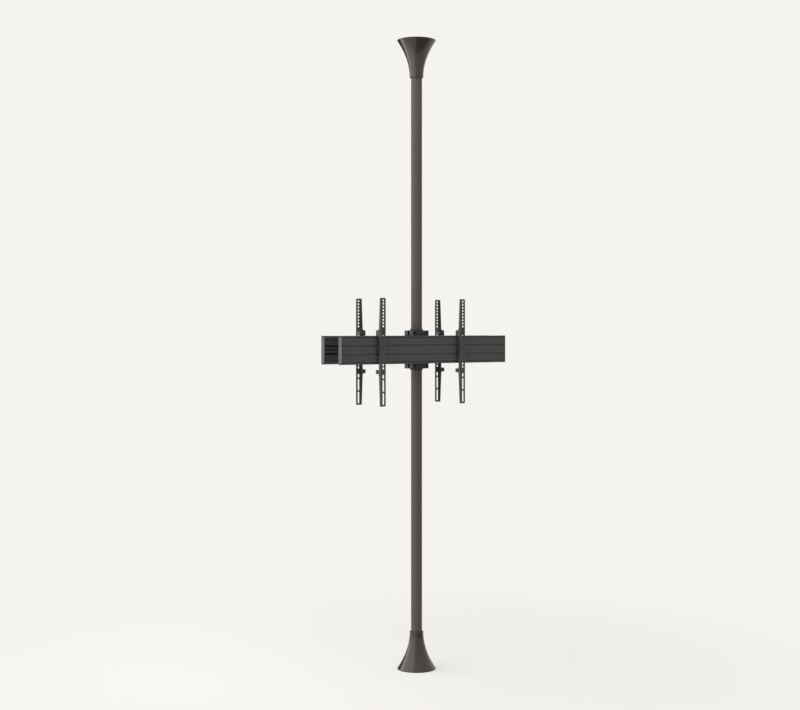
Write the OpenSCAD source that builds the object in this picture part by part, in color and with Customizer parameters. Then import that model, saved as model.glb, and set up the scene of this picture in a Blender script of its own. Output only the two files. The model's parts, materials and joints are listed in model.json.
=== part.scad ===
// Floor-to-ceiling pole mount: one pole, two back-to-back rails on a turning clamp, four hook-on arms.
// Millimetres. Origin on the floor under the pole, +Z up, +X along the rails, front towards -Y.

/* [Pole] */
// Floor to ceiling height
total_h = 2516; // [2200:1:2800]
// Pole outside diameter
pole_d = 44; // [40:1:46]
// Pole wall thickness
pole_wall = 2; // [1.5:0.5:4]
// Thickness of the floor and ceiling plates
plate_t = 8; // [6:1:12]
// Diameter of the floor and ceiling plates
plate_d = 130; // [120:1:136]
// Circle of the plate screws
plate_pcd = 100; // [80:1:104]
// Clear hole for a plate screw
plate_hole_d = 7; // [5:0.5:8]
// Length of the spigot inside the pole
spigot_h = 90; // [75:5:150]
// Height of the grub screws above the floor and below the ceiling
grub_z = 60; // [40:1:70]

/* [Covers] */
// Height of a flared cover
cover_h = 150; // [110:1:200]
// Radius of the cover at the plate
cover_mouth_r = 77.3; // [72:0.1:90]
// Radius of the cover at the neck
cover_neck_r = 27.4; // [26.5:0.1:32]
// Wall of the cover, measured level
cover_wall = 2.4; // [1.5:0.1:3]
// Cover stands this far off floor and ceiling
cover_lift = 0.6; // [0.4:0.1:3]

/* [Clamp] */
// Height of the clamp centre
clamp_z = 1278; // [600:1:1900]
// Clamp height
clamp_h = 152; // [140:1:180]
// Clamp width
clamp_w = 80; // [76:1:100]
// Clamp depth, front to back
clamp_dep = 60; // [58:1:70]
// Gap between the clamp halves
clamp_gap = 11; // [4:0.5:14]
// Outside radius of the liner
liner_r = 26; // [25.5:0.5:28]
// Liner shows this far past the clamp
liner_over = 7; // [5:0.5:12]
// Sheet thickness of the carrier channels
carrier_t = 3; // [2:0.5:4]

/* [Rails] */
// Rail length without end caps
bar_l = 823; // [600:1:1000]
// Rail height
bar_h = 110; // [100:1:120]
// Rail depth
bar_dep = 20; // [18:1:24]
// Distance from pole axis to the rail's outer face
bar_face = 68; // [64:0.5:80]
// Depth of the recess in the rail's back
recess = 4; // [3.5:0.5:5]
// Height of the T-slots above and below the rail's middle
slot_z = 15; // [12:0.5:16]
// End cap thickness
cap_t = 2.5; // [2:0.5:5]

/* [Arms] */
// Arm length
arm_l = 420; // [400:1:640]
// Arm width
arm_w = 25; // [22:1:32]
// Sheet thickness
arm_t = 2.5; // [2:0.25:3]
// Middle of the arms below the clamp centre
arm_drop = 8; // [2:1:14]
// Arm's outer face in front of the rail's outer face
arm_proud = 15.3; // [14:0.1:20]
// Hole line of the left arms
arm_left_x = -227.4; // [-380:0.1:-90]
// Hole line of the right arms
arm_right_x = 172.6; // [90:0.1:380]
// Distance between round holes
hole_pitch = 12.5; // [12:0.5:14]
// Hole and slot width
hole_d = 8.5; // [6.5:0.5:9]
// Flange depth at the ends of the arm
flange_end = 4.5; // [3:0.5:8]
// Flange depth at the middle of the arm
flange_mid = 11.2; // [8:0.1:12]
// Height of the hook above the rail
hook_h = 22; // [20:1:30]

/* [Clearances] */
// Running gap on radius, liner and cover rings on the pole
run_gap = 0.05; // [0.02:0.01:0.1]
// Gap between a screw and its hole or nut
screw_gap = 0.05; // [0.02:0.01:0.1]
// Spigot in the pole, on radius
spigot_gap = 0.1; // [0.05:0.05:0.3]
// Flange foot and rail face, and hook and rail edge
foot_gap = 0.35; // [0.3:0.05:1]
// Levelling screw tip over the rail
tip_gap = 0.05; // [0.02:0.01:0.2]
// Pegs, nuts and channels in the rail's hollows
peg_gap = 0.2; // [0.1:0.05:0.4]

/* [Shown] */
// Sub-part to draw

/* [Hidden] */
$fn = 96;
// shapes of one solid run into each other by e, cuts run past a face by cut
e = 0.01;
cut = 1;

// M6 screws: shank and clear hole on radius, head radius, key, and the key of a low head
m6 = 3;
m6_clear = 3.2;
m6_head_r = 5;
m6_key = 5;
low_key = 4;
// M6 nut across flats, nut and washer thickness, washer radius
nut_af = 10;
nut_t = 5;
washer_t = 1.6;
washer_r = 5.8;

// pole ends
pole_r = pole_d / 2;
bore_r = pole_r - pole_wall;
spigot_wall = 6;
spigot_nose = 2;
plate_edge = 1;
grub_key = 3;
grub_sink = 0.4;

// covers: number of flare steps, straight lip, top rim, bush height and its place below the rim
steps = 26;
lip = 1.5;
rim = 1;
ring_h = 11.2;
ring_edge = 0.9;
seat_z = cover_h - 13;

// liner's middle rib, and the bevels at its ends
rib_out = 2;
rib_h = 12;
rib_r = liner_r + rib_out;
liner_bevel_r = 2;
liner_bevel_h = 4;

// clamp bolts: distance from the clamp's side and end, and the round pockets that hide heads and nuts
bolt_x = clamp_w / 2 - 6.8;
bolt_z = clamp_h / 2 - 11;
pocket_r = 6;
pocket_dep = 8;
head_h = 5.5;
clamp_edge = 3;
// screws from the carrier's sides into the clamp
side_z = 28;
side_y = 18;
side_len = carrier_t + 11;
side_head_h = 3;
side_hole = 13;

// rail section, measured from its outer face and its edges
bar_back = bar_face - bar_dep;
bar_top = clamp_z + bar_h / 2;
bar_bot = clamp_z - bar_h / 2;
bar_edge = 0.8;
channel_in = 5.5;
channel_w = 7;
channel_dep = 9;
groove_w = 6.8;
groove_dep = 3.4;
groove_in_z = 17.3;
groove_out_z = bar_h / 2 - 7;
line_w = 1.6;
line_dep = 0.9;
line_z = bar_h / 2 - 22;
rim_h = 11.5;
recess_h = bar_h / 2 - rim_h;
recess_line = 3.5;
wall_t = 3;
mid_w = 4;
mid_dep = 5;
slot_w = 7;
lip_t = 2.5;
tee_w = 13.5;
tee_dep = 5.5;
tee_nut_l = 18;
tee_nut_t = 4;
chamber_y0 = recess + wall_t;
chamber_y1 = bar_dep - 3.5;
chamber_z0 = slot_z + tee_w / 2 + wall_t;
chamber_z1 = bar_h / 2 - channel_dep - wall_t;
// screws through the carrier's web, and the counterbored hole behind each end cap
web_x = 24;
web_len = carrier_t + lip_t + tee_nut_t + 0.5;
web_head_h = 4.5;
cap_hole_in = 26;
cap_hole_r = 2.6;
cap_head_r = 4.2;

// carriers: web height, taper of the sides, side start from the pole's axis, middle hole
web_h = 2 * (recess_h - 5 * peg_gap);
side_taper = 6;
side_start = 9;
web_hole_r = 12;

// end caps: overhang, shadow joint, cut corners, peg length
cap_over = 0.4;
cap_joint = 1;
cap_inset = 1.2;
cap_corner = 2;
peg_l = 12;

// arms: the flange stands on the line x = flange_x, holes run along x = 0, heights are from the arm's middle
arm_face = bar_face + arm_proud;
arm_z = clamp_z - arm_drop;
flange_x = -14;
arm_corner = 3;
first_hole = arm_l / 2 - 10;
upper_rows = 13;
lower_rows = [20, 21];
end_land = 6;
long_slot = 46;
short_slot = 16;
slot_land = 4.5;
high_slot_w = 4.5;
high_slot = [13.5, 23];
taper_l = 40;
taper_in = 2;
// hook over the rail's top edge, with a toe in the channel
hook_lo = bar_top + foot_gap - arm_z;
hook_hi = bar_top + hook_h - arm_z;
toe_dep = 8;
toe_side = 1;
hook_reach = 14.5;
// foot on the rail's face and ear below the rail
foot_lo = bar_bot + 11 - arm_z;
foot_h = 15;
ramp = 3;
ear_drop = 22;
ear_hi = bar_bot - ear_drop - arm_z;
ear_h = 16;
ear_lo = ear_hi - ear_h;
ear_reach = 15.5;
ear_hole_r = 4;
ear_hole_in = 8;
// hook block and levelling screw
block_w = arm_w - 5;
block_lo = bar_top + 4;
block_hi = bar_top + hook_h + 8.5;
upright_y = -bar_face - 7;
shelf_hi = bar_top + 15;
level_x = flange_x + arm_t + block_w / 2;
screw_y = -bar_face + channel_in / 2;
level_r = 2.5;
level_head_r = 4.4;
level_head_h = 5;
level_key = 4;

// Lays an outline drawn in (Y, Z) along X from x0 for a length l.
module along_x(x0, l) { translate([x0, 0, 0]) rotate([90, 0, 90]) linear_extrude(l) children(); }

// Hexagon prism on Z, across flats af.
module hex(af, h) { cylinder(h = h, r = af / sqrt(3), $fn = 6); }

// Socket-head screw pointing to -Z: under-head plane at z = 0.
module socket_screw(r, len, head_r, head_h, key) {
  nose = r / 4;
  round_h = 0.6;
  difference() {
    union() {
      translate([0, 0, nose - len]) cylinder(h = len - nose + e, r = r);
      translate([0, 0, -len]) cylinder(h = nose + e, r1 = r - nose, r2 = r);
      cylinder(h = head_h - round_h, r = head_r);
      translate([0, 0, head_h - round_h - e]) cylinder(h = round_h + e, r1 = head_r, r2 = head_r - round_h);
    }
    translate([0, 0, head_h * 0.45]) hex(key, head_h);
  }
}

// Slot outline along Y of width w from y0 to y1.
module slot2d(w, y0, y1) {
  translate([0, y0 + w / 2]) circle(d = w);
  translate([0, y1 - w / 2]) circle(d = w);
  translate([-w / 2, y0 + w / 2]) square([w, y1 - y0 - w]);
}

// Rectangle outline from (x0, y0) to (x1, y1) with cut corners c.
module chamfered(x0, y0, x1, y1, c) {
  polygon([
    [x0 + c, y0], [x1 - c, y0], [x1, y0 + c], [x1, y1 - c],
    [x1 - c, y1], [x0 + c, y1], [x0, y1 - c], [x0, y0 + c]
  ]);
}

// Two level places on the line x = y, at height z, for children that point outwards along +Z.
module at_grubs(z) {
  for (a = [45, 225]) rotate([0, 0, a]) translate([0, 0, z]) rotate([0, 90, 0]) children();
}

// Holes for the grub screws, from inside the spigot to outside the pole.
module grub_holes(z, r) {
  at_grubs(z) translate([0, 0, bore_r - 2 * spigot_wall])
    cylinder(h = 2 * spigot_wall + pole_wall + cut, r = r);
}

module pole() {
  color("#655f5b") difference() {
    translate([0, 0, plate_t]) cylinder(h = total_h - 2 * plate_t, r = pole_r);
    translate([0, 0, plate_t - cut]) cylinder(h = total_h, r = bore_r);
    grub_holes(grub_z, m6_clear);
    grub_holes(total_h - grub_z, m6_clear);
  }
}

// Foot plate with its spigot, standing on z = 0.
module foot() {
  spigot_r = bore_r - spigot_gap;
  spigot_top = plate_t + spigot_h;
  difference() {
    union() {
      cylinder(h = plate_t - plate_edge, d = plate_d);
      translate([0, 0, plate_t - plate_edge - e])
        cylinder(h = plate_edge + e, d1 = plate_d, d2 = plate_d - 2 * plate_edge);
      cylinder(h = spigot_top - spigot_nose, r = spigot_r);
      translate([0, 0, spigot_top - spigot_nose - e])
        cylinder(h = spigot_nose + e, r1 = spigot_r, r2 = spigot_r - spigot_nose);
    }
    translate([0, 0, plate_t]) cylinder(h = spigot_h + cut, r = bore_r - spigot_wall);
    for (a = [0:90:270]) rotate([0, 0, a]) translate([plate_pcd / 2, 0, 0]) {
      translate([0, 0, -cut]) cylinder(h = plate_t + 2 * cut, d = plate_hole_d);
      translate([0, 0, plate_t - plate_hole_d / 2])
        cylinder(h = plate_hole_d / 2 + e, d1 = plate_hole_d, d2 = plate_hole_d * 2);
    }
    grub_holes(grub_z, m6 + screw_gap);
  }
}

module floor_plate() { color("#3f3c3b") foot(); }
module ceiling_plate() { color("#3f3c3b") translate([0, 0, total_h]) mirror([0, 0, 1]) foot(); }

// Two grub screws, sunk just below the pole's surface, with a key hole outside.
module grub_pair(z) {
  point = 1;
  at_grubs(z) difference() {
    union() {
      translate([0, 0, bore_r - spigot_wall + point])
        cylinder(h = spigot_wall + pole_wall - point - grub_sink, r = m6);
      translate([0, 0, bore_r - spigot_wall]) cylinder(h = point + e, r1 = m6 - point, r2 = m6);
    }
    translate([0, 0, pole_r - grub_sink - m6]) hex(grub_key, 2 * m6);
  }
}

module floor_set_screws() { color("#2a2a2b") grub_pair(grub_z); }
module ceiling_set_screws() { color("#2a2a2b") grub_pair(total_h - grub_z); }

// Flare from mouth (t = 0) to neck (t = 1): the radius falls along a parabola, the height rises evenly.
function flare_r(t) = cover_neck_r + (cover_mouth_r - cover_neck_r) * pow(1 - t, 2);
function flare_z(t) = lip + t * (cover_h - lip - rim);

// Open shell of revolution: lip, flare, rounded rim, straight seat for the bush, and the flare again inside.
module trumpet() {
  seat_r = cover_neck_r - cover_wall;
  outside = [for (i = [0:steps]) [flare_r(i / steps), flare_z(i / steps)]];
  inside = [for (i = [steps:-1:0]) if (flare_z(i / steps) < seat_z - rim)
    [flare_r(i / steps) - cover_wall, flare_z(i / steps)]];
  rotate_extrude() polygon(concat(
    [[cover_mouth_r, 0]], outside, [[cover_neck_r - rim, cover_h], [seat_r, cover_h], [seat_r, seat_z]],
    inside, [[cover_mouth_r - cover_wall, 0]]
  ));
}

// Bush that fills the neck and slides on the pole.
module neck_ring() {
  r0 = pole_r + run_gap;
  r1 = cover_neck_r - cover_wall;
  translate([0, 0, seat_z]) rotate_extrude() polygon([
    [r0, ring_edge], [r0 + ring_edge, 0], [r1, 0],
    [r1, ring_h], [r0 + ring_edge, ring_h], [r0, ring_h - ring_edge]
  ]);
}

// Stands its children on the ceiling, upside down.
module at_ceiling() { translate([0, 0, total_h - cover_lift]) mirror([0, 0, 1]) children(); }

module floor_cover() { color("#45413f") translate([0, 0, cover_lift]) trumpet(); }
module floor_cover_ring() { color("#1d1d1e") translate([0, 0, cover_lift]) neck_ring(); }
module ceiling_cover() { color("#45413f") at_ceiling() trumpet(); }
module ceiling_cover_ring() { color("#1d1d1e") at_ceiling() neck_ring(); }

// Plastic liner on the pole; its middle rib carries the clamp, which turns on it.
module clamp_liner() {
  top = clamp_h / 2 + liner_over;
  r0 = pole_r + run_gap;
  r1 = liner_r;
  rib = rib_h / 2 - run_gap;
  upper = [
    [rib_r, rib], [r1, rib], [r1, top - liner_bevel_h], [r1 - liner_bevel_r, top],
    [r0 + rim, top], [r0, top - rim]
  ];
  lower = [for (i = [len(upper) - 1:-1:0]) [upper[i][0], -upper[i][1]]];
  color("#232324") translate([0, 0, clamp_z]) rotate_extrude() polygon(concat(lower, upper));
}

// The four bolt places, for children that point to the rear.
module at_bolts() {
  for (x = [-bolt_x, bolt_x], z = [-bolt_z, bolt_z])
    translate([x, 0, clamp_z + z]) rotate([-90, 0, 0]) children();
}

// Rear half of the clamp; the front half is the same piece turned round.
module clamp_half() {
  w = clamp_w / 2;
  d = clamp_dep / 2;
  g = clamp_gap / 2;
  c = clamp_edge;
  difference() {
    translate([0, 0, clamp_z - clamp_h / 2]) linear_extrude(clamp_h)
      polygon([[-w, g], [w, g], [w, d - c], [w - c, d], [c - w, d], [-w, d - c]]);
    translate([0, 0, clamp_z - clamp_h]) cylinder(h = 2 * clamp_h, r = liner_r + run_gap);
    translate([0, 0, clamp_z - rib_h / 2]) cylinder(h = rib_h, r = rib_r + run_gap);
    at_bolts() {
      cylinder(h = d + cut, r = m6_clear);
      translate([0, 0, d - pocket_dep]) cylinder(h = pocket_dep + cut, r = pocket_r);
    }
    for (s = [-1, 1], z = [-side_z, side_z])
      translate([s * (w + cut), side_y, clamp_z + z]) rotate([0, -s * 90, 0])
        cylinder(h = side_hole, r = m6 + screw_gap);
  }
}

module clamp_front() { color("#2b2a2a") rotate([0, 0, 180]) clamp_half(); }
module clamp_rear() { color("#2b2a2a") clamp_half(); }

// floor of the bolt pockets, from the middle plane, and the reach of a bolt past the nut
pocket_floor = clamp_dep / 2 - pocket_dep;
bolt_over = 1;

module clamp_bolts() {
  color("#1b1b1c") at_bolts() translate([0, 0, -pocket_floor - washer_t]) mirror([0, 0, 1])
    socket_screw(m6, 2 * pocket_floor + 2 * washer_t + nut_t + bolt_over, m6_head_r, head_h, m6_key);
}

module clamp_washers() {
  color("#8f9092") at_bolts() for (z = [-pocket_floor - washer_t, pocket_floor])
    translate([0, 0, z]) difference() {
      cylinder(h = washer_t, r = washer_r);
      translate([0, 0, -cut]) cylinder(h = washer_t + 2 * cut, r = m6_clear);
    }
}

// Hexagon nuts with their corners turned off at the outer end.
module clamp_nuts() {
  color("#8f9092") at_bolts() translate([0, 0, pocket_floor + washer_t]) difference() {
    intersection() {
      hex(nut_af, nut_t);
      translate([0, 0, -e]) cylinder(h = nut_t + 2 * e, r1 = nut_af * 0.72, r2 = nut_af * 0.53);
    }
    translate([0, 0, -cut]) cylinder(h = nut_t + 2 * cut, r = m6 + screw_gap);
  }
}

// The four places of the screws into the rail, at distance y from the pole's axis.
module at_web(y) {
  for (x = [-web_x, web_x], z = [-slot_z, slot_z]) translate([x, y, clamp_z + z]) children();
}

// Channel that holds the rail on the clamp: its web lies in the rail's recess, its sides lie on the clamp.
module carrier() {
  w = clamp_w / 2;
  h = web_h / 2;
  y1 = bar_back + recess;
  y0 = y1 - carrier_t;
  difference() {
    union() {
      translate([-w - carrier_t, y0, clamp_z - h]) cube([2 * (w + carrier_t), carrier_t, web_h]);
      for (x = [-w - carrier_t, w]) along_x(x, carrier_t) polygon([
        [side_start, clamp_z - h + side_taper], [y0 + e, clamp_z - h],
        [y0 + e, clamp_z + h], [side_start, clamp_z + h - side_taper]
      ]);
    }
    for (s = [-1, 1], z = [-side_z, side_z])
      translate([s * (w - cut), side_y, clamp_z + z]) rotate([0, s * 90, 0])
        cylinder(h = carrier_t + 2 * cut, r = m6_clear);
    at_web(y0 - cut) rotate([-90, 0, 0]) cylinder(h = carrier_t + 2 * cut, r = m6_clear);
    translate([0, y0 - cut, clamp_z]) rotate([-90, 0, 0]) cylinder(h = carrier_t + 2 * cut, r = web_hole_r);
  }
}

// Screws through the channel sides into the clamp half.
module side_screws() {
  for (s = [-1, 1], z = [-side_z, side_z])
    translate([s * (clamp_w / 2 + carrier_t), side_y, clamp_z + z]) rotate([0, s * 90, 0])
      socket_screw(m6, side_len, m6_head_r, side_head_h, low_key);
}

module carrier_front() { color("#333132") rotate([0, 0, 180]) carrier(); }
module carrier_rear() { color("#333132") carrier(); }
module carrier_front_screws() { color("#1b1b1c") rotate([0, 0, 180]) side_screws(); }
module carrier_rear_screws() { color("#1b1b1c") side_screws(); }

// Upper half of the hollows in the rail section: x = 0 is the back, x = bar_dep the outer face.
module upper_hollows() {
  h = bar_h / 2;
  d = bar_dep;
  channel_y = d - channel_in - channel_w;
  // grooves and fine line on the outer face
  for (z = [groove_in_z, groove_out_z]) polygon([
    [d + cut, z - groove_w / 2], [d + cut, z + groove_w / 2],
    [d - groove_dep, z + groove_w * 0.31], [d - groove_dep, z - groove_w * 0.31]
  ]);
  translate([d - line_dep, line_z - line_w / 2]) square([line_dep + cut, line_w]);
  // hook channel in the edge
  translate([channel_y, h - channel_dep]) square([channel_w, channel_dep + cut]);
  // T-slot and fine line in the recess
  translate([recess - e, slot_z - slot_w / 2]) square([lip_t + 2 * e, slot_w]);
  translate([recess + lip_t, slot_z - tee_w / 2]) square([tee_dep, tee_w]);
  translate([recess - e, recess_h - recess_line - line_w / 2]) square([line_dep + e, line_w]);
  // closed chambers, behind the outer face and in the rim
  translate([chamber_y0, chamber_z0]) square([chamber_y1 - chamber_y0, chamber_z1 - chamber_z0]);
  translate([wall_t - 1, recess_h + 2]) square([channel_y - 2 * (wall_t - 1), rim_h - 4]);
}

// Extruded rail section.
module bar_section() {
  difference() {
    chamfered(0, -bar_h / 2, bar_dep, bar_h / 2, bar_edge);
    upper_hollows();
    mirror([0, 1]) upper_hollows();
    translate([-cut, -recess_h]) square([recess + cut, 2 * recess_h]);
    translate([recess - e, -mid_w / 2]) square([mid_dep + e, mid_w]);
    translate([bar_dep - line_dep, -line_w / 2]) square([line_dep + cut, line_w]);
  }
}

module bar() {
  translate([0, bar_back, clamp_z]) difference() {
    along_x(-bar_l / 2, bar_l) bar_section();
    // counterbored holes on the middle line, behind the end caps
    for (s = [-1, 1]) translate([s * (bar_l / 2 - cap_hole_in), 0, 0]) rotate([-90, 0, 0]) {
      cylinder(h = recess + mid_dep + wall_t, r = cap_hole_r);
      cylinder(h = recess + wall_t, r = cap_head_r);
    }
  }
}

module bar_front() { color("#242425") rotate([0, 0, 180]) bar(); }
module bar_rear() { color("#242425") bar(); }

// End cap for the +X end of the rear rail: plate, set-back joint and two pegs in the rail's chambers.
module cap() {
  h = bar_h / 2;
  translate([bar_l / 2, bar_back, clamp_z]) {
    along_x(0, cap_joint + e)
      chamfered(cap_inset, cap_inset - h, bar_dep - cap_inset, h - cap_inset, cap_corner);
    along_x(cap_joint, cap_t - cap_joint)
      chamfered(-cap_over, -h - cap_over, bar_dep + cap_over, h + cap_over, cap_corner);
    for (s = [0, 1]) mirror([0, 0, s]) along_x(-peg_l, peg_l + e)
      translate([chamber_y0 + peg_gap, chamber_z0 + peg_gap])
        square([chamber_y1 - chamber_y0 - 2 * peg_gap, chamber_z1 - chamber_z0 - 2 * peg_gap]);
  }
}

module bar_front_cap_left() { color("#4a4848") rotate([0, 0, 180]) cap(); }
module bar_front_cap_right() { color("#4a4848") mirror([0, 1, 0]) cap(); }
module bar_rear_cap_left() { color("#4a4848") mirror([1, 0, 0]) cap(); }
module bar_rear_cap_right() { color("#4a4848") cap(); }

// Screws from the channel web into the T-slots, and their nuts.
module web_screws() {
  at_web(bar_back + recess - carrier_t) rotate([90, 0, 0])
    socket_screw(m6, web_len, m6_head_r, web_head_h, low_key);
}

module tee_nuts() {
  neck_w = slot_w - 2 * peg_gap;
  body_w = tee_w - 2 * peg_gap;
  at_web(bar_back + recess + lip_t) difference() {
    union() {
      translate([-tee_nut_l / 2, 0, -body_w / 2]) cube([tee_nut_l, tee_nut_t, body_w]);
      translate([-tee_nut_l / 2, peg_gap - lip_t, -neck_w / 2]) cube([tee_nut_l, lip_t, neck_w]);
    }
    translate([0, -lip_t - cut, 0]) rotate([-90, 0, 0])
      cylinder(h = lip_t + tee_nut_t + 2 * cut, r = m6 + screw_gap);
  }
}

module bar_front_screws() { color("#1b1b1c") rotate([0, 0, 180]) web_screws(); }
module bar_rear_screws() { color("#1b1b1c") web_screws(); }
module bar_front_nuts() { color("#8f9092") rotate([0, 0, 180]) tee_nuts(); }
module bar_rear_nuts() { color("#8f9092") tee_nuts(); }

// Outline of the side flange in (Y, Z), with ear, foot and hook; the front face looks to -Y.
module flange2d() {
  f = -arm_face;
  n = f + flange_end;
  m = f + flange_mid;
  foot = -bar_face - foot_gap;
  ear_y = -bar_face + ear_reach;
  hook_y = -bar_face + hook_reach;
  toe_y0 = -bar_face + channel_in + toe_side;
  toe_y1 = toe_y0 + channel_w - 2 * toe_side;
  toe_lo = hook_lo - toe_dep;
  polygon([
    // plain lower end and the ear
    [f, -arm_l / 2], [n, -arm_l / 2], [n + taper_in, -arm_l / 2 + taper_l], [m, ear_lo - 2 * ramp],
    [m + ramp, ear_lo], [ear_y - 1.5, ear_lo], [ear_y, ear_lo + 1.5],
    [ear_y, ear_hi - 1.5], [ear_y - 1.5, ear_hi], [m + ramp, ear_hi], [m, ear_hi + ramp],
    // foot against the rail's face, and the rest below the hook
    [m, foot_lo - ramp], [foot, foot_lo], [foot, foot_lo + foot_h], [m, foot_lo + foot_h + ramp],
    [m, hook_lo - 5 - ramp], [foot, hook_lo - 5], [foot, hook_lo],
    // toe in the channel
    [toe_y0, hook_lo], [toe_y0, toe_lo + 1], [toe_y0 + 1, toe_lo], [toe_y1 - 1, toe_lo], [toe_y1, toe_lo + 1],
    [toe_y1, hook_lo],
    // back and top of the hook, then the plain upper end
    [hook_y, hook_lo + 0.6], [hook_y, hook_hi - ramp], [hook_y - ramp, hook_hi],
    [m + 5, hook_hi], [m, hook_hi + 5],
    [n + taper_in, arm_l / 2 - taper_l], [n, arm_l / 2], [f, arm_l / 2]
  ]);
}

// Round holes and slots of the face, drawn flat along Y.
module face_holes() {
  low = -arm_l / 2 + end_land;
  mid = low + long_slot + slot_land;
  high = mid + long_slot + slot_land;
  for (k = concat([for (i = [0:upper_rows - 1]) i], lower_rows))
    translate([0, first_hole - k * hole_pitch]) circle(d = hole_d);
  slot2d(high_slot_w, high_slot[0], high_slot[1]);
  slot2d(hole_d, high, high + short_slot);
  slot2d(hole_d, mid, mid + long_slot);
  slot2d(hole_d, low, low + long_slot);
}

module arm() {
  w0 = flange_x;
  w1 = flange_x + arm_w;
  c = arm_corner;
  translate([0, 0, arm_z]) difference() {
    union() {
      translate([0, arm_t - arm_face, 0]) rotate([90, 0, 0]) linear_extrude(arm_t) polygon([
        [w0, -arm_l / 2], [w1 - c, -arm_l / 2], [w1, -arm_l / 2 + c],
        [w1, arm_l / 2 - c], [w1 - c, arm_l / 2], [w0, arm_l / 2]
      ]);
      along_x(w0, arm_t) flange2d();
    }
    translate([0, arm_t + cut - arm_face, 0]) rotate([90, 0, 0]) linear_extrude(arm_t + 2 * cut) face_holes();
    // lock hole in the ear
    translate([w0 - cut, ear_hole_in - bar_face, (ear_lo + ear_hi) / 2]) rotate([0, 90, 0])
      cylinder(h = arm_t + 2 * cut, r = ear_hole_r);
  }
}

// Hook block behind the face: an upright that meets the face, and a shelf that carries the levelling screw.
module hook_block() {
  back = arm_t - arm_face;
  shelf_y = screw_y + 6.5;
  step_y = upright_y + ramp + 1;
  difference() {
    along_x(flange_x + arm_t, block_w) polygon([
      [back, block_lo - 1.5], [step_y, block_lo - 1.5], [step_y + 1.5, block_lo], [shelf_y - 1, block_lo],
      [shelf_y, block_lo + 1], [shelf_y, shelf_hi - 2], [shelf_y - 1.5, shelf_hi],
      [upright_y + ramp, shelf_hi], [upright_y, shelf_hi + ramp],
      [upright_y, block_hi - 1.5], [upright_y - 1.5, block_hi], [back, block_hi]
    ]);
    translate([level_x, screw_y, block_lo - cut])
      cylinder(h = shelf_hi - block_lo + 2 * cut, r = level_r + screw_gap);
  }
}

// Levelling screw; its tip stands on the front lip of the rail.
module level_screw() {
  translate([level_x, screw_y, shelf_hi])
    socket_screw(level_r, shelf_hi - bar_top - tip_gap, level_head_r, level_head_h, level_key);
}

// Sets a front piece at the hole line x, turned round for a rear one.
module place(x, rear) { translate([x, 0, 0]) rotate([0, 0, rear ? 180 : 0]) children(); }

module arm_front_left() { color("#1f1f20") place(arm_left_x, false) arm(); }
module arm_front_right() { color("#1f1f20") place(arm_right_x, false) arm(); }
module arm_rear_left() { color("#1f1f20") place(arm_left_x, true) arm(); }
module arm_rear_right() { color("#1f1f20") place(arm_right_x, true) arm(); }
module arm_front_left_hook() { color("#3a3a3b") place(arm_left_x, false) hook_block(); }
module arm_front_right_hook() { color("#3a3a3b") place(arm_right_x, false) hook_block(); }
module arm_rear_left_hook() { color("#3a3a3b") place(arm_left_x, true) hook_block(); }
module arm_rear_right_hook() { color("#3a3a3b") place(arm_right_x, true) hook_block(); }
module arm_front_left_screw() { color("#1b1b1c") place(arm_left_x, false) level_screw(); }
module arm_front_right_screw() { color("#1b1b1c") place(arm_right_x, false) level_screw(); }
module arm_rear_left_screw() { color("#1b1b1c") place(arm_left_x, true) level_screw(); }
module arm_rear_right_screw() { color("#1b1b1c") place(arm_right_x, true) level_screw(); }

pole();
floor_plate();
ceiling_plate();
floor_set_screws();
ceiling_set_screws();
floor_cover();
floor_cover_ring();
ceiling_cover();
ceiling_cover_ring();
clamp_liner();
clamp_front();
clamp_rear();
clamp_bolts();
clamp_washers();
clamp_nuts();
carrier_front();
carrier_rear();
carrier_front_screws();
carrier_rear_screws();
bar_front();
bar_rear();
bar_front_screws();
bar_rear_screws();
bar_front_nuts();
bar_rear_nuts();
bar_front_cap_left();
bar_front_cap_right();
bar_rear_cap_left();
bar_rear_cap_right();
arm_front_left();
arm_front_right();
arm_rear_left();
arm_rear_right();
arm_front_left_hook();
arm_front_right_hook();
arm_rear_left_hook();
arm_rear_right_hook();
arm_front_left_screw();
arm_front_right_screw();
arm_rear_left_screw();
arm_rear_right_screw();
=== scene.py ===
import json
import math

import bmesh
import bpy
import numpy as np
from mathutils import Matrix, Vector


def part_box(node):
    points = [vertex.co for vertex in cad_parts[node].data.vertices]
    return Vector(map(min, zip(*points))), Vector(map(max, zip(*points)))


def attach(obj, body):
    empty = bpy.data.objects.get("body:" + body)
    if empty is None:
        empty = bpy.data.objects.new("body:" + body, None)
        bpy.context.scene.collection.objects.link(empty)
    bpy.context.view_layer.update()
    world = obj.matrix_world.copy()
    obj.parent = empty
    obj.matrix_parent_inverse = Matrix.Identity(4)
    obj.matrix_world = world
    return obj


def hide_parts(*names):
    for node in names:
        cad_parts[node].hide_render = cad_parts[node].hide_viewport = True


print("stage: loading the frame")
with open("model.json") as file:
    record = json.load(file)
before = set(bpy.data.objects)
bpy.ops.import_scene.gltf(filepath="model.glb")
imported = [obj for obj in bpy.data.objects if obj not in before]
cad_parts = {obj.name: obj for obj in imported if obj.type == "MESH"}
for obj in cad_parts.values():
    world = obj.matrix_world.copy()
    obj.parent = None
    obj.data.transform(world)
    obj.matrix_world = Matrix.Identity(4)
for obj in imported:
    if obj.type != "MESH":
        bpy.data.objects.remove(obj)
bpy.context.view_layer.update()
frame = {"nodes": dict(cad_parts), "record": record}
nodes = frame["nodes"]
bpy.context.scene.view_settings.view_transform = "Standard"


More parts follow.
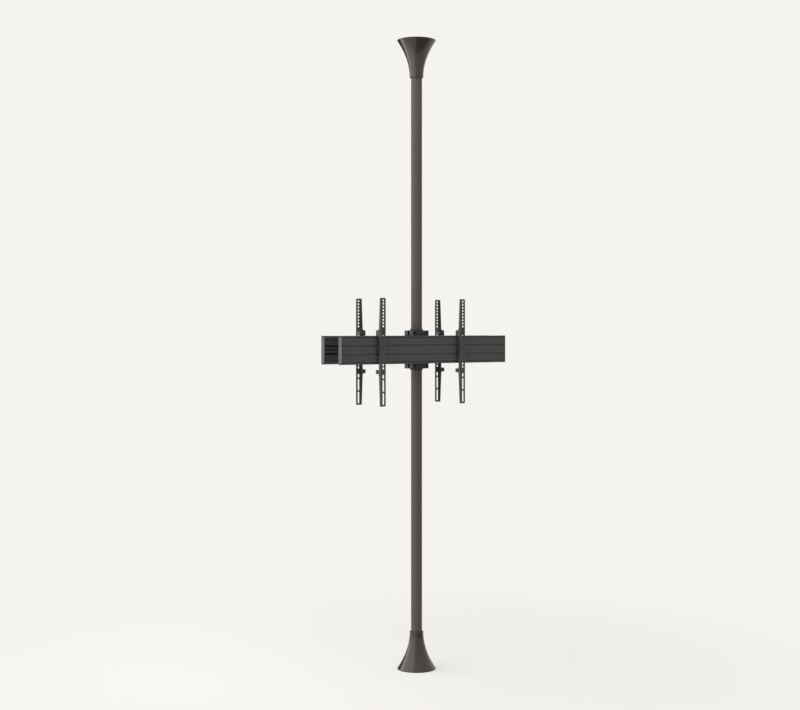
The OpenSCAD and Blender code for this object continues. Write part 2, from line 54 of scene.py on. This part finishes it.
cameraLook = {
    "turn": 38.44,  # degrees from straight on, towards the viewer's left
    "distance": 5.6895,  # metres from the pole's axis, along the view
    "side": 0.0363,  # metres that the camera stands to the right of the pole
    "height": 1.3556,
    "sensor": 36,
    "lens": 63.92,
    "shiftX": -0.0320,
    "shiftY": -0.0312,
    "clipEnd": 60,
}


def makeCamera(look):
    t = math.radians(look["turn"])
    right = Vector((math.cos(t), -math.sin(t), 0))
    ahead = Vector((math.sin(t), math.cos(t), 0))
    cam = bpy.data.cameras.new("viewCamera")
    cam.sensor_width = look["sensor"]
    cam.lens = look["lens"]
    cam.shift_x = look["shiftX"]
    cam.shift_y = look["shiftY"]
    cam.clip_end = look["clipEnd"]
    obj = bpy.data.objects.new("viewCamera", cam)
    bpy.context.scene.collection.objects.link(obj)
    obj.location = right * look["side"] - ahead * look["distance"]
    obj.location.z = look["height"]
    obj.rotation_euler = (math.pi / 2, 0, -t)
    bpy.context.scene.camera = obj
    return right, ahead


print("stage: camera")
viewRight, viewAhead = makeCamera(cameraLook)


def linear(r, g, b):
    # an sRGB colour of 0-255 as linear light
    out = []
    for c in (r, g, b):
        c /= 255
        out.append(c / 12.92 if c <= 0.04045 else ((c + 0.055) / 1.055) ** 2.4)
    return (*out, 1)


def addNode(tree, kind, **values):
    # each value goes to the socket of that name, or else to the node's own setting
    node = tree.nodes.new(kind)
    for key, value in values.items():
        if key in node.inputs:
            node.inputs[key].default_value = value
        else:
            setattr(node, key, value)
    return node


def newGroup(name, inputs, outputs):
    group = bpy.data.node_groups.new(name, "ShaderNodeTree")
    for label, kind, value in inputs:
        sock = group.interface.new_socket(label, in_out="INPUT", socket_type=kind)
        sock.default_value = value
    for label, kind in outputs:
        group.interface.new_socket(label, in_out="OUTPUT", socket_type=kind)
    return group, group.nodes.new("NodeGroupInput"), group.nodes.new("NodeGroupOutput")


def makeGrainGroup():
    # powder or moulded grain: a fine bump with specks of lighter and darker colour, and slow cloudy drift
    group, gin, gout = newGroup(
        "surfaceGrain",
        [
            ("Color", "NodeSocketColor", (0.1, 0.1, 0.1, 1)),
            ("Grain Scale", "NodeSocketFloat", 900.0),
            ("Grain Height", "NodeSocketFloat", 0.15),
            ("Speck", "NodeSocketFloat", 0.12),
            ("Drift", "NodeSocketFloat", 0.1),
            ("Roughness", "NodeSocketFloat", 0.45),
            ("Rough Drift", "NodeSocketFloat", 0.08),
        ],
        [("Color", "NodeSocketColor"), ("Roughness", "NodeSocketFloat"), ("Height", "NodeSocketFloat")],
    )
    link = group.links.new
    coord = addNode(group, "ShaderNodeTexCoord")
    fine = addNode(group, "ShaderNodeTexNoise", Detail=3.0, Roughness=0.6)
    slow = addNode(group, "ShaderNodeTexNoise", Scale=7.0, Detail=4.0, Roughness=0.55)
    link(coord.outputs["Object"], fine.inputs["Vector"])
    link(coord.outputs["Object"], slow.inputs["Vector"])
    link(gin.outputs["Grain Scale"], fine.inputs["Scale"])

    def centred(source, amount):
        # (source - 0.5) * amount
        less = addNode(group, "ShaderNodeMath", operation="SUBTRACT")
        less.inputs[1].default_value = 0.5
        link(source, less.inputs[0])
        times = addNode(group, "ShaderNodeMath", operation="MULTIPLY")
        link(less.outputs[0], times.inputs[0])
        link(amount, times.inputs[1])
        return times.outputs[0]

    speck = centred(fine.outputs["Fac"], gin.outputs["Speck"])
    drift = centred(slow.outputs["Fac"], gin.outputs["Drift"])
    total = addNode(group, "ShaderNodeMath", operation="ADD")
    link(speck, total.inputs[0])
    link(drift, total.inputs[1])
    gain = addNode(group, "ShaderNodeMath", operation="ADD")
    gain.inputs[1].default_value = 1
    link(total.outputs[0], gain.inputs[0])
    tone = addNode(group, "ShaderNodeVectorMath", operation="SCALE")
    link(gin.outputs["Color"], tone.inputs[0])
    link(gain.outputs[0], tone.inputs["Scale"])
    link(tone.outputs[0], gout.inputs["Color"])

    rough = addNode(group, "ShaderNodeMath", operation="ADD", use_clamp=True)
    link(centred(slow.outputs["Fac"], gin.outputs["Rough Drift"]), rough.inputs[0])
    link(gin.outputs["Roughness"], rough.inputs[1])
    link(rough.outputs[0], gout.inputs["Roughness"])
    high = addNode(group, "ShaderNodeMath", operation="MULTIPLY")
    link(fine.outputs["Fac"], high.inputs[0])
    link(gin.outputs["Grain Height"], high.inputs[1])
    link(high.outputs[0], gout.inputs["Height"])
    return group


def makeLinesGroup():
    # drawn lines of an extrusion: a noise stretched along X, so the lines run with the rail
    group, gin, gout = newGroup(
        "drawnLines",
        [("Line Scale", "NodeSocketFloat", 900.0), ("Strength", "NodeSocketFloat", 0.2)],
        [("Height", "NodeSocketFloat")],
    )
    link = group.links.new
    coord = addNode(group, "ShaderNodeTexCoord")
    stretch = addNode(group, "ShaderNodeMapping")
    stretch.inputs["Scale"].default_value = (0.01, 1, 1)  # a hundred times longer along X
    link(coord.outputs["Object"], stretch.inputs["Vector"])
    noise = addNode(group, "ShaderNodeTexNoise", Detail=2.0, Roughness=0.5)
    link(stretch.outputs["Vector"], noise.inputs["Vector"])
    link(gin.outputs["Line Scale"], noise.inputs["Scale"])
    high = addNode(group, "ShaderNodeMath", operation="MULTIPLY")
    link(noise.outputs["Fac"], high.inputs[0])
    link(gin.outputs["Strength"], high.inputs[1])
    link(high.outputs[0], gout.inputs["Height"])
    return group


print("stage: shader groups")
grainGroup = makeGrainGroup()
linesGroup = makeLinesGroup()

# colour as seen in plain light (0-255), grain per metre, height and speck of the grain, drift of the tone
finishes = {
    "polePaint": dict(
        color=(90, 83, 79), rough=0.5, specular=0.12, grain=1500, height=0.25, speck=0.14, drift=0.05
    ),
    "coverGloss": dict(
        color=(54, 44, 42), rough=0.28, specular=0.34, grain=2200, height=0.02, speck=0.05, drift=0.06,
        coat=0.34, coatRough=0.07,
    ),
    "plateBlack": dict(
        color=(34, 33, 33), rough=0.5, specular=0.35, grain=1300, height=0.3, speck=0.18, drift=0.1
    ),
    "clampBlack": dict(
        color=(34, 34, 34), rough=0.42, specular=0.35, grain=1800, height=0.2, speck=0.14, drift=0.1
    ),
    "railBlack": dict(
        color=(72, 72, 73), rough=0.38, specular=0.35, grain=2400, height=0.06, speck=0.08, drift=0.06,
        metallic=0.35, lines=0.35,
    ),
    "armPowder": dict(
        color=(69, 69, 69), rough=0.5, specular=0.3, grain=1100, height=0.5, speck=0.2, drift=0.06
    ),
    "capGrey": dict(
        color=(76, 76, 77), rough=0.55, specular=0.4, grain=1500, height=0.2, speck=0.04, drift=0.03,
        # painted shade: the caps' top and bottom are coloured darker to stand in for shade there
        ends=(26, 26, 27), endSize=0.0068,
    ),
    "linerPlastic": dict(
        color=(28, 28, 29), rough=0.5, specular=0.35, grain=1700, height=0.2, speck=0.1, drift=0.05
    ),
    "ringRubber": dict(
        color=(24, 24, 25), rough=0.75, specular=0.3, grain=1900, height=0.4, speck=0.15, drift=0.08
    ),
    "screwBlack": dict(
        color=(34, 34, 35), rough=0.32, specular=0.5, grain=2200, height=0.05, speck=0.12, drift=0.12,
        metallic=0.6,
    ),
    "screwZinc": dict(
        color=(168, 170, 174), rough=0.32, specular=0.5, grain=2000, height=0.05, speck=0.1, drift=0.12,
        metallic=0.95,
    ),
}
bumpLook = {"Strength": 0.5, "Distance": 0.0004}
grainInputs = {
    "Grain Scale": "grain",
    "Grain Height": "height",
    "Speck": "speck",
    "Drift": "drift",
    "Roughness": "rough",
}


def paintCapShade(tree, color, look):
    # painted shade: a dark foot and head on the rails' grey caps, as many metres high as the look's size,
    # standing in for the shade at the caps' top and bottom
    low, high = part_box("bar_front_cap_left")
    coord = addNode(tree, "ShaderNodeTexCoord")
    parts = addNode(tree, "ShaderNodeSeparateXYZ")
    away = addNode(tree, "ShaderNodeMath", operation="SUBTRACT")
    away.inputs[1].default_value = (low.z + high.z) / 2
    size = addNode(tree, "ShaderNodeMath", operation="ABSOLUTE")
    dark = addNode(tree, "ShaderNodeMath", operation="GREATER_THAN")
    dark.inputs[1].default_value = (high.z - low.z) / 2 - look["endSize"]
    mix = addNode(tree, "ShaderNodeMix", data_type="RGBA")
    plain, painted, mixed = mix.inputs[6], mix.inputs[7], mix.outputs[2]  # its three colour sockets
    tree.links.new(coord.outputs["Object"], parts.inputs[0])
    tree.links.new(parts.outputs["Z"], away.inputs[0])
    tree.links.new(away.outputs[0], size.inputs[0])
    tree.links.new(size.outputs[0], dark.inputs[0])
    tree.links.new(dark.outputs[0], mix.inputs["Factor"])
    tree.links.new(color, plain)
    painted.default_value = linear(*look["ends"])
    return mixed


def makeFinish(name, look):
    mat = bpy.data.materials.new(name)
    mat.use_nodes = True
    tree = mat.node_tree
    tree.nodes.clear()
    link = tree.links.new
    out = addNode(tree, "ShaderNodeOutputMaterial")
    skin = addNode(tree, "ShaderNodeBsdfPrincipled")
    grain = addNode(tree, "ShaderNodeGroup", node_tree=grainGroup)
    grain.inputs["Color"].default_value = linear(*look["color"])
    for label, key in grainInputs.items():
        grain.inputs[label].default_value = look[key]
    color = grain.outputs["Color"]
    height = grain.outputs["Height"]
    # painted shade at the caps' top and bottom
    if "ends" in look:
        color = paintCapShade(tree, color, look)
    if "lines" in look:
        lines = addNode(tree, "ShaderNodeGroup", node_tree=linesGroup)
        lines.inputs["Strength"].default_value = look["lines"]
        total = addNode(tree, "ShaderNodeMath", operation="ADD")
        link(height, total.inputs[0])
        link(lines.outputs["Height"], total.inputs[1])
        height = total.outputs[0]
    bump = addNode(tree, "ShaderNodeBump", **bumpLook)
    link(height, bump.inputs["Height"])
    link(bump.outputs["Normal"], skin.inputs["Normal"])
    link(color, skin.inputs["Base Color"])
    link(grain.outputs["Roughness"], skin.inputs["Roughness"])
    link(skin.outputs["BSDF"], out.inputs["Surface"])
    skin.inputs["Metallic"].default_value = look.get("metallic", 0)
    skin.inputs["Specular IOR Level"].default_value = look["specular"]
    if "coat" in look:
        skin.inputs["Coat Weight"].default_value = look["coat"]
        skin.inputs["Coat Roughness"].default_value = look["coatRough"]
    return mat


print("stage: materials")
materials = {name: makeFinish(name, look) for name, look in finishes.items()}
slotFinish = {
    "pole_paint": "polePaint",
    "plate_paint": "plateBlack",
    "black_screw": "screwBlack",
    "zinc_screw": "screwZinc",
    "cover_gloss": "coverGloss",
    "rubber": "ringRubber",
    "liner_plastic": "linerPlastic",
    "clamp_black": "clampBlack",
    "carrier_paint": "plateBlack",
    "bar_anodised": "railBlack",
    "cap_plastic": "capGrey",
    "arm_powder": "armPowder",
}
nodeSlot = {s["node"]: s["material_slot"] for s in frame["record"]["subparts"]}
nodeBody = {}
for body, members in frame["record"]["behaviour"]["bodies"].items():
    for member in members:
        nodeBody[member] = body


def dress(obj, finish):
    obj.data.materials.clear()
    obj.data.materials.append(materials[finish])


for name, obj in nodes.items():
    dress(obj, slotFinish[nodeSlot[name]])


def cornerArc(radius, first, last, steps=5):
    # a rounded corner: points at radius (cos a, sin a) for a from first to last
    turn = np.linspace(first, last, steps)
    return radius * np.stack([np.cos(turn), np.sin(turn)], -1)


def turnedMesh(name, profile, around):
    # a closed profile of points (r, z) carried round the Z axis: x = r cos a, y = r sin a
    profile = np.asarray(profile, float)
    n = len(profile)
    angle = np.linspace(0, 2 * np.pi, around, endpoint=False)
    x = np.outer(np.cos(angle), profile[:, 0])
    y = np.outer(np.sin(angle), profile[:, 0])
    z = np.broadcast_to(profile[:, 1], x.shape)
    points = np.stack([x, y, z], -1).reshape(-1, 3)
    i, j = np.meshgrid(np.arange(around), np.arange(n), indexing="ij")
    i2 = (i + 1) % around
    j2 = (j + 1) % n
    quads = np.stack([i * n + j, i2 * n + j, i2 * n + j2, i * n + j2], -1).reshape(-1, 4)
    mesh = bpy.data.meshes.new(name)
    mesh.from_pydata(points.tolist(), [], quads.tolist())
    mesh.update()
    outwards(mesh)
    return mesh


def outwards(mesh, weld=1e-6):
    # doubles merged, bare edges dropped and all faces turned to the outside
    bm = bmesh.new()
    bm.from_mesh(mesh)
    bmesh.ops.remove_doubles(bm, verts=bm.verts, dist=weld)
    bmesh.ops.delete(bm, geom=[edge for edge in bm.edges if not edge.link_faces], context="EDGES")
    bmesh.ops.recalc_face_normals(bm, faces=bm.faces)
    bm.to_mesh(mesh)
    bm.free()


def camelName(node, ending):
    first, *others = node.split("_")
    return first + "".join(word.capitalize() for word in others) + ending


def ridingPiece(name, mesh, slot, body, smoothAngle=35):
    obj = bpy.data.objects.new(name, mesh)
    bpy.context.scene.collection.objects.link(obj)
    dress(obj, slotFinish[slot])
    alone = dict(object=obj, active_object=obj, selected_objects=[obj], selected_editable_objects=[obj])
    with bpy.context.temp_override(**alone):
        bpy.ops.object.shade_smooth_by_angle(angle=math.radians(smoothAngle))
    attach(obj, body)
    return obj


def addPiece(name, mesh, node, smoothAngle=35):
    # a piece that stands for one CAD node
    obj = ridingPiece(name, mesh, nodeSlot[node], nodeBody[node], smoothAngle)
    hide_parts(node)
    return obj


coverShape = {
    "mouth": 0.0773,
    "neck": 0.0274,
    "wall": 0.0024,
    "lip": 0.0016,  # upright edge at the mouth
    "soft": 0.002,  # rounding at the neck
    "around": 160,
    "rings": 90,
}


def coverProfile(shape, tall):
    # outside: r = neck + (mouth - neck) (1 - t)^2 for t from 0 at the mouth to 1 at the neck;
    # the inside comes back down a wall thinner
    t = np.linspace(0, 1, shape["rings"])
    r = shape["neck"] + (shape["mouth"] - shape["neck"]) * (1 - t) ** 2
    z = shape["lip"] + t * (tall - shape["lip"] - shape["soft"])
    bore = shape["neck"] - shape["wall"]
    foot = shape["mouth"] - shape["wall"]
    soft = shape["soft"]
    corner = cornerArc(soft, 0, np.pi / 2) + [shape["neck"] - soft, tall - soft]
    outer = np.stack([r, z], -1)
    inner = np.stack([r - shape["wall"], z], -1)[::-1]
    ends = np.array([[foot, 0], [shape["mouth"], 0]])
    return np.concatenate([outer, corner[1:], [[bore, tall]], inner, ends])


def makeCover(name, node, upsideDown):
    low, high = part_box(node)
    profile = coverProfile(coverShape, high.z - low.z)
    if upsideDown:
        profile[:, 1] = high.z - profile[:, 1]
    else:
        profile[:, 1] = low.z + profile[:, 1]
    addPiece(name, turnedMesh(name, profile, coverShape["around"]), node)


poleShape = {"wall": 0.002, "rings": 60, "around": 160}


def makePole(shape):
    # a straight tube: outside up, inside down
    low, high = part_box("pole")
    z = np.linspace(low.z, high.z, shape["rings"])
    outer = np.stack([np.full_like(z, high.x), z], -1)
    inner = np.stack([np.full_like(z, high.x - shape["wall"]), z[::-1]], -1)
    profile = np.concatenate([outer, inner])
    addPiece("poleTube", turnedMesh("poleTube", profile, shape["around"]), "pole")


print("stage: pole and covers")
makePole(poleShape)
makeCover("floorCoverShell", "floor_cover", False)
makeCover("ceilingCoverShell", "ceiling_cover", True)


# width of the rounded edge on each kind of rigid piece, in metres
softEdges = {
    "clamp": 0.0008,
    "carrier": 0.0005,
    "bar": 0.0003,
    "cap": 0.0007,
    "arm": 0.0004,
    "hook": 0.0006,
}
softLook = {
    "weld": 2e-6,  # metres
    "flat": 0.6,  # degrees between faces that are joined into one
    "smooth": 30,  # degrees up to which the shading runs on
    "sharp": 32,  # degrees from which an edge is rounded
    "segments": 2,
}


def softCopy(node, width):
    # a welded copy of a CAD node with its flat faces joined and its sharp edges rounded
    mesh = nodes[node].data.copy()
    bm = bmesh.new()
    bm.from_mesh(mesh)
    bmesh.ops.remove_doubles(bm, verts=bm.verts, dist=softLook["weld"])
    flat = math.radians(softLook["flat"])
    bmesh.ops.dissolve_limit(bm, angle_limit=flat, verts=bm.verts, edges=bm.edges)
    bm.to_mesh(mesh)
    bm.free()
    obj = addPiece(camelName(node, "Soft"), mesh, node, softLook["smooth"])
    bevel = obj.modifiers.new("softEdge", "BEVEL")
    bevel.width = width
    bevel.segments = softLook["segments"]
    bevel.limit_method = "ANGLE"
    bevel.angle_limit = math.radians(softLook["sharp"])
    bevel.harden_normals = True


def softKind(node):
    if node.endswith("_hook"):
        return "hook"
    if "_cap_" in node:
        return "cap"
    if node in ("bar_front", "bar_rear", "carrier_front", "carrier_rear", "clamp_front", "clamp_rear"):
        return node.split("_")[0]
    if node.startswith("arm_") and not node.endswith("_screw"):
        return "arm"
    return None


print("stage: softened edges")
for name in sorted(nodes):
    kind = softKind(name)
    if kind:
        softCopy(name, softEdges[kind])


earLock = {
    "below": 0.030,  # metres from the rail's lower edge down to the ear's middle
    "out": 0.060,  # metres from the pole's axis to the ear's hole
    "sheet": 0.0025,
    "shank": 0.00395,
    "head": 0.0056,
    "headTall": 0.0011,
    "soft": 0.0005,
    "around": 48,
}


def lockProfile(shape):
    # half of a button lock: flat head, rounded edge, shank through the sheet, and the same again
    half = shape["sheet"] / 2
    top = half + shape["headTall"]
    edge = cornerArc(shape["soft"], np.pi / 2, 0) + [shape["head"] - shape["soft"], top - shape["soft"]]
    upper = np.concatenate([[[0, top]], edge, [[shape["head"], half], [shape["shank"], half]]])
    lower = upper[::-1] * [1, -1]
    return np.concatenate([upper, lower])


def makeEarLock(arm, rail, side):
    # the lock's axis runs along X through the arm's side sheet; side is -1 in front and 1 behind
    low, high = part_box(arm)
    sheetMiddle = high.x - earLock["sheet"] / 2 if side > 0 else low.x + earLock["sheet"] / 2
    name = camelName(arm, "Lock")
    mesh = turnedMesh(name, lockProfile(earLock), earLock["around"])
    place = Vector((sheetMiddle, side * earLock["out"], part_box(rail)[0].z - earLock["below"]))
    mesh.transform(Matrix.Translation(place) @ Matrix.Rotation(math.pi / 2, 4, "Y"))
    ridingPiece(name, mesh, "black_screw", nodeBody[arm])


print("stage: locks in the ears")
for side, rail in ((-1, "bar_front"), (1, "bar_rear")):
    for hand in ("left", "right"):
        makeEarLock(rail.replace("bar", "arm") + "_" + hand, rail, side)


room = {
    "wall": (245, 243, 239),
    "floor": 60.0,
    "shade": 0.45,  # share of the floor's own even tone at the pole's foot
    "shadeFrom": 0.3,  # metres from the pole up to which that share holds
    "shadeTo": 2.0,  # metres from the pole at which the floor is all even
    "light": 0.36,  # what the air gives to the object
}


def seenDirectly(tree):
    # 1 for what the camera sees, straight or by way of gloss or glass
    path = addNode(tree, "ShaderNodeLightPath")
    glossy = addNode(tree, "ShaderNodeMath", operation="MAXIMUM")
    every = addNode(tree, "ShaderNodeMath", operation="MAXIMUM")
    tree.links.new(path.outputs["Is Camera Ray"], glossy.inputs[0])
    tree.links.new(path.outputs["Is Glossy Ray"], glossy.inputs[1])
    tree.links.new(glossy.outputs[0], every.inputs[0])
    tree.links.new(path.outputs["Is Transmission Ray"], every.inputs[1])
    return every.outputs[0]


def makeFloorPaint():
    # matt near the foot, where it takes the shadow, and its own even tone further out
    mat = bpy.data.materials.new("floorPaint")
    mat.use_nodes = True
    tree = mat.node_tree
    tree.nodes.clear()
    link = tree.links.new
    out = addNode(tree, "ShaderNodeOutputMaterial")
    matt = addNode(tree, "ShaderNodeBsdfDiffuse", Color=linear(*room["wall"]))
    even = addNode(tree, "ShaderNodeEmission", Color=linear(*room["wall"]), Strength=1.0)
    coord = addNode(tree, "ShaderNodeTexCoord")
    far = addNode(tree, "ShaderNodeVectorMath", operation="LENGTH")
    link(coord.outputs["Object"], far.inputs[0])
    share = addNode(tree, "ShaderNodeMapRange", interpolation_type="SMOOTHSTEP")
    share.inputs["From Min"].default_value = room["shadeFrom"]
    share.inputs["From Max"].default_value = room["shadeTo"]
    share.inputs["To Min"].default_value = room["shade"]
    share.inputs["To Max"].default_value = 1.0
    link(far.outputs["Value"], share.inputs["Value"])
    amount = addNode(tree, "ShaderNodeMath", operation="MULTIPLY")
    link(seenDirectly(tree), amount.inputs[0])
    link(share.outputs["Result"], amount.inputs[1])
    mix = addNode(tree, "ShaderNodeMixShader")
    link(amount.outputs[0], mix.inputs[0])
    link(matt.outputs[0], mix.inputs[1])
    link(even.outputs[0], mix.inputs[2])
    link(mix.outputs[0], out.inputs["Surface"])
    return mat


def stagePiece(name, points, quads, mat):
    mesh = bpy.data.meshes.new(name)
    mesh.from_pydata(points, [], quads)
    mesh.materials.append(mat)
    obj = bpy.data.objects.new(name, mesh)
    bpy.context.scene.collection.objects.link(obj)
    return obj


def makeFloor():
    half = room["floor"] / 2
    corners = [(-half, -half, 0), (half, -half, 0), (half, half, 0), (-half, half, 0)]
    stagePiece("studioFloor", corners, [(0, 1, 2, 3)], makeFloorPaint())


def makeWorld():
    world = bpy.data.worlds.new("studioAir")
    bpy.context.scene.world = world
    world.use_nodes = True
    tree = world.node_tree
    tree.nodes.clear()
    link = tree.links.new
    out = addNode(tree, "ShaderNodeOutputWorld")
    light = addNode(tree, "ShaderNodeBackground", Color=(1, 1, 1, 1), Strength=room["light"])
    seen = addNode(tree, "ShaderNodeBackground", Color=linear(*room["wall"]), Strength=1.0)
    mix = addNode(tree, "ShaderNodeMixShader")
    link(seenDirectly(tree), mix.inputs[0])
    link(light.outputs[0], mix.inputs[1])
    link(seen.outputs[0], mix.inputs[2])
    link(mix.outputs[0], out.inputs["Surface"])


# turn: degrees round the pole from the camera's side, below zero on the viewer's left; glow: 1 is white
lamps = {
    "leftWide": dict(turn=-58, far=3.2, height=1.9, wide=4.8, tall=4.0, glow=1.3),
    "leftStrip": dict(turn=-110, far=3.0, height=1.9, wide=1.2, tall=4.2, glow=2.2),
    "topSoft": dict(turn=0, far=0.4, height=4.2, wide=3.4, tall=3.4, glow=2.2),
}
lampAim = Vector((0, 0, 1.26))  # half way up the pole


def aroundPole(turn, far):
    # a place on the ring round the pole, as seen by the camera
    angle = math.radians(turn)
    return viewRight * (far * math.sin(angle)) - viewAhead * (far * math.cos(angle))


def makeLamp(name, look):
    lamp = bpy.data.lights.new(name, "AREA")
    lamp.shape = "RECTANGLE"
    lamp.size = look["wide"]
    lamp.size_y = look["tall"]
    lamp.energy = math.pi * look["wide"] * look["tall"] * look["glow"]
    obj = bpy.data.objects.new(name, lamp)
    bpy.context.scene.collection.objects.link(obj)
    obj.visible_camera = False
    obj.location = aroundPole(look["turn"], look["far"])
    obj.location.z = look["height"]
    obj.rotation_euler = (lampAim - obj.location).to_track_quat("-Z", "Y").to_euler()


# dark cards that are seen only in the gloss: one behind the viewer's left side draws the covers' edge,
# one on the floor to the viewer's right darkens the wide end of the ceiling cover
darkCards = {
    "sideCard": {
        "from": -124, "to": -174, "near": 2.4, "far": 2.4, "bottom": 0.05, "top": 4.4,
        "color": (20, 19, 19), "rough": 0.9,
    },
    "floorCard": {
        "from": -6, "to": 98, "near": 0.5, "far": 3.8, "bottom": 0.01, "top": 0.01,
        "color": (76, 74, 72), "rough": 0.9,
    },
}


def makeDarkCard(name, card, steps=24):
    # a sheet bent round the pole: every step of the angle has a near low point and a far high one
    mat = bpy.data.materials.new(name + "Cloth")
    mat.use_nodes = True
    skin = mat.node_tree.nodes["Principled BSDF"]
    skin.inputs["Base Color"].default_value = linear(*card["color"])
    skin.inputs["Roughness"].default_value = card["rough"]
    rims = (("near", "bottom"), ("far", "top"))
    points = []
    for turn in np.linspace(card["from"], card["to"], steps):
        for away, height in rims:
            place = aroundPole(turn, card[away])
            points.append((place.x, place.y, card[height]))
    quads = [(2 * i, 2 * i + 2, 2 * i + 3, 2 * i + 1) for i in range(steps - 1)]
    obj = stagePiece(name, points, quads, mat)
    obj.visible_camera = False
    obj.visible_diffuse = False
    obj.visible_shadow = False
    obj.visible_transmission = False


print("stage: floor and light")
makeFloor()
makeWorld()
for name, card in darkCards.items():
    makeDarkCard(name, card)
for name, look in lamps.items():
    makeLamp(name, look)
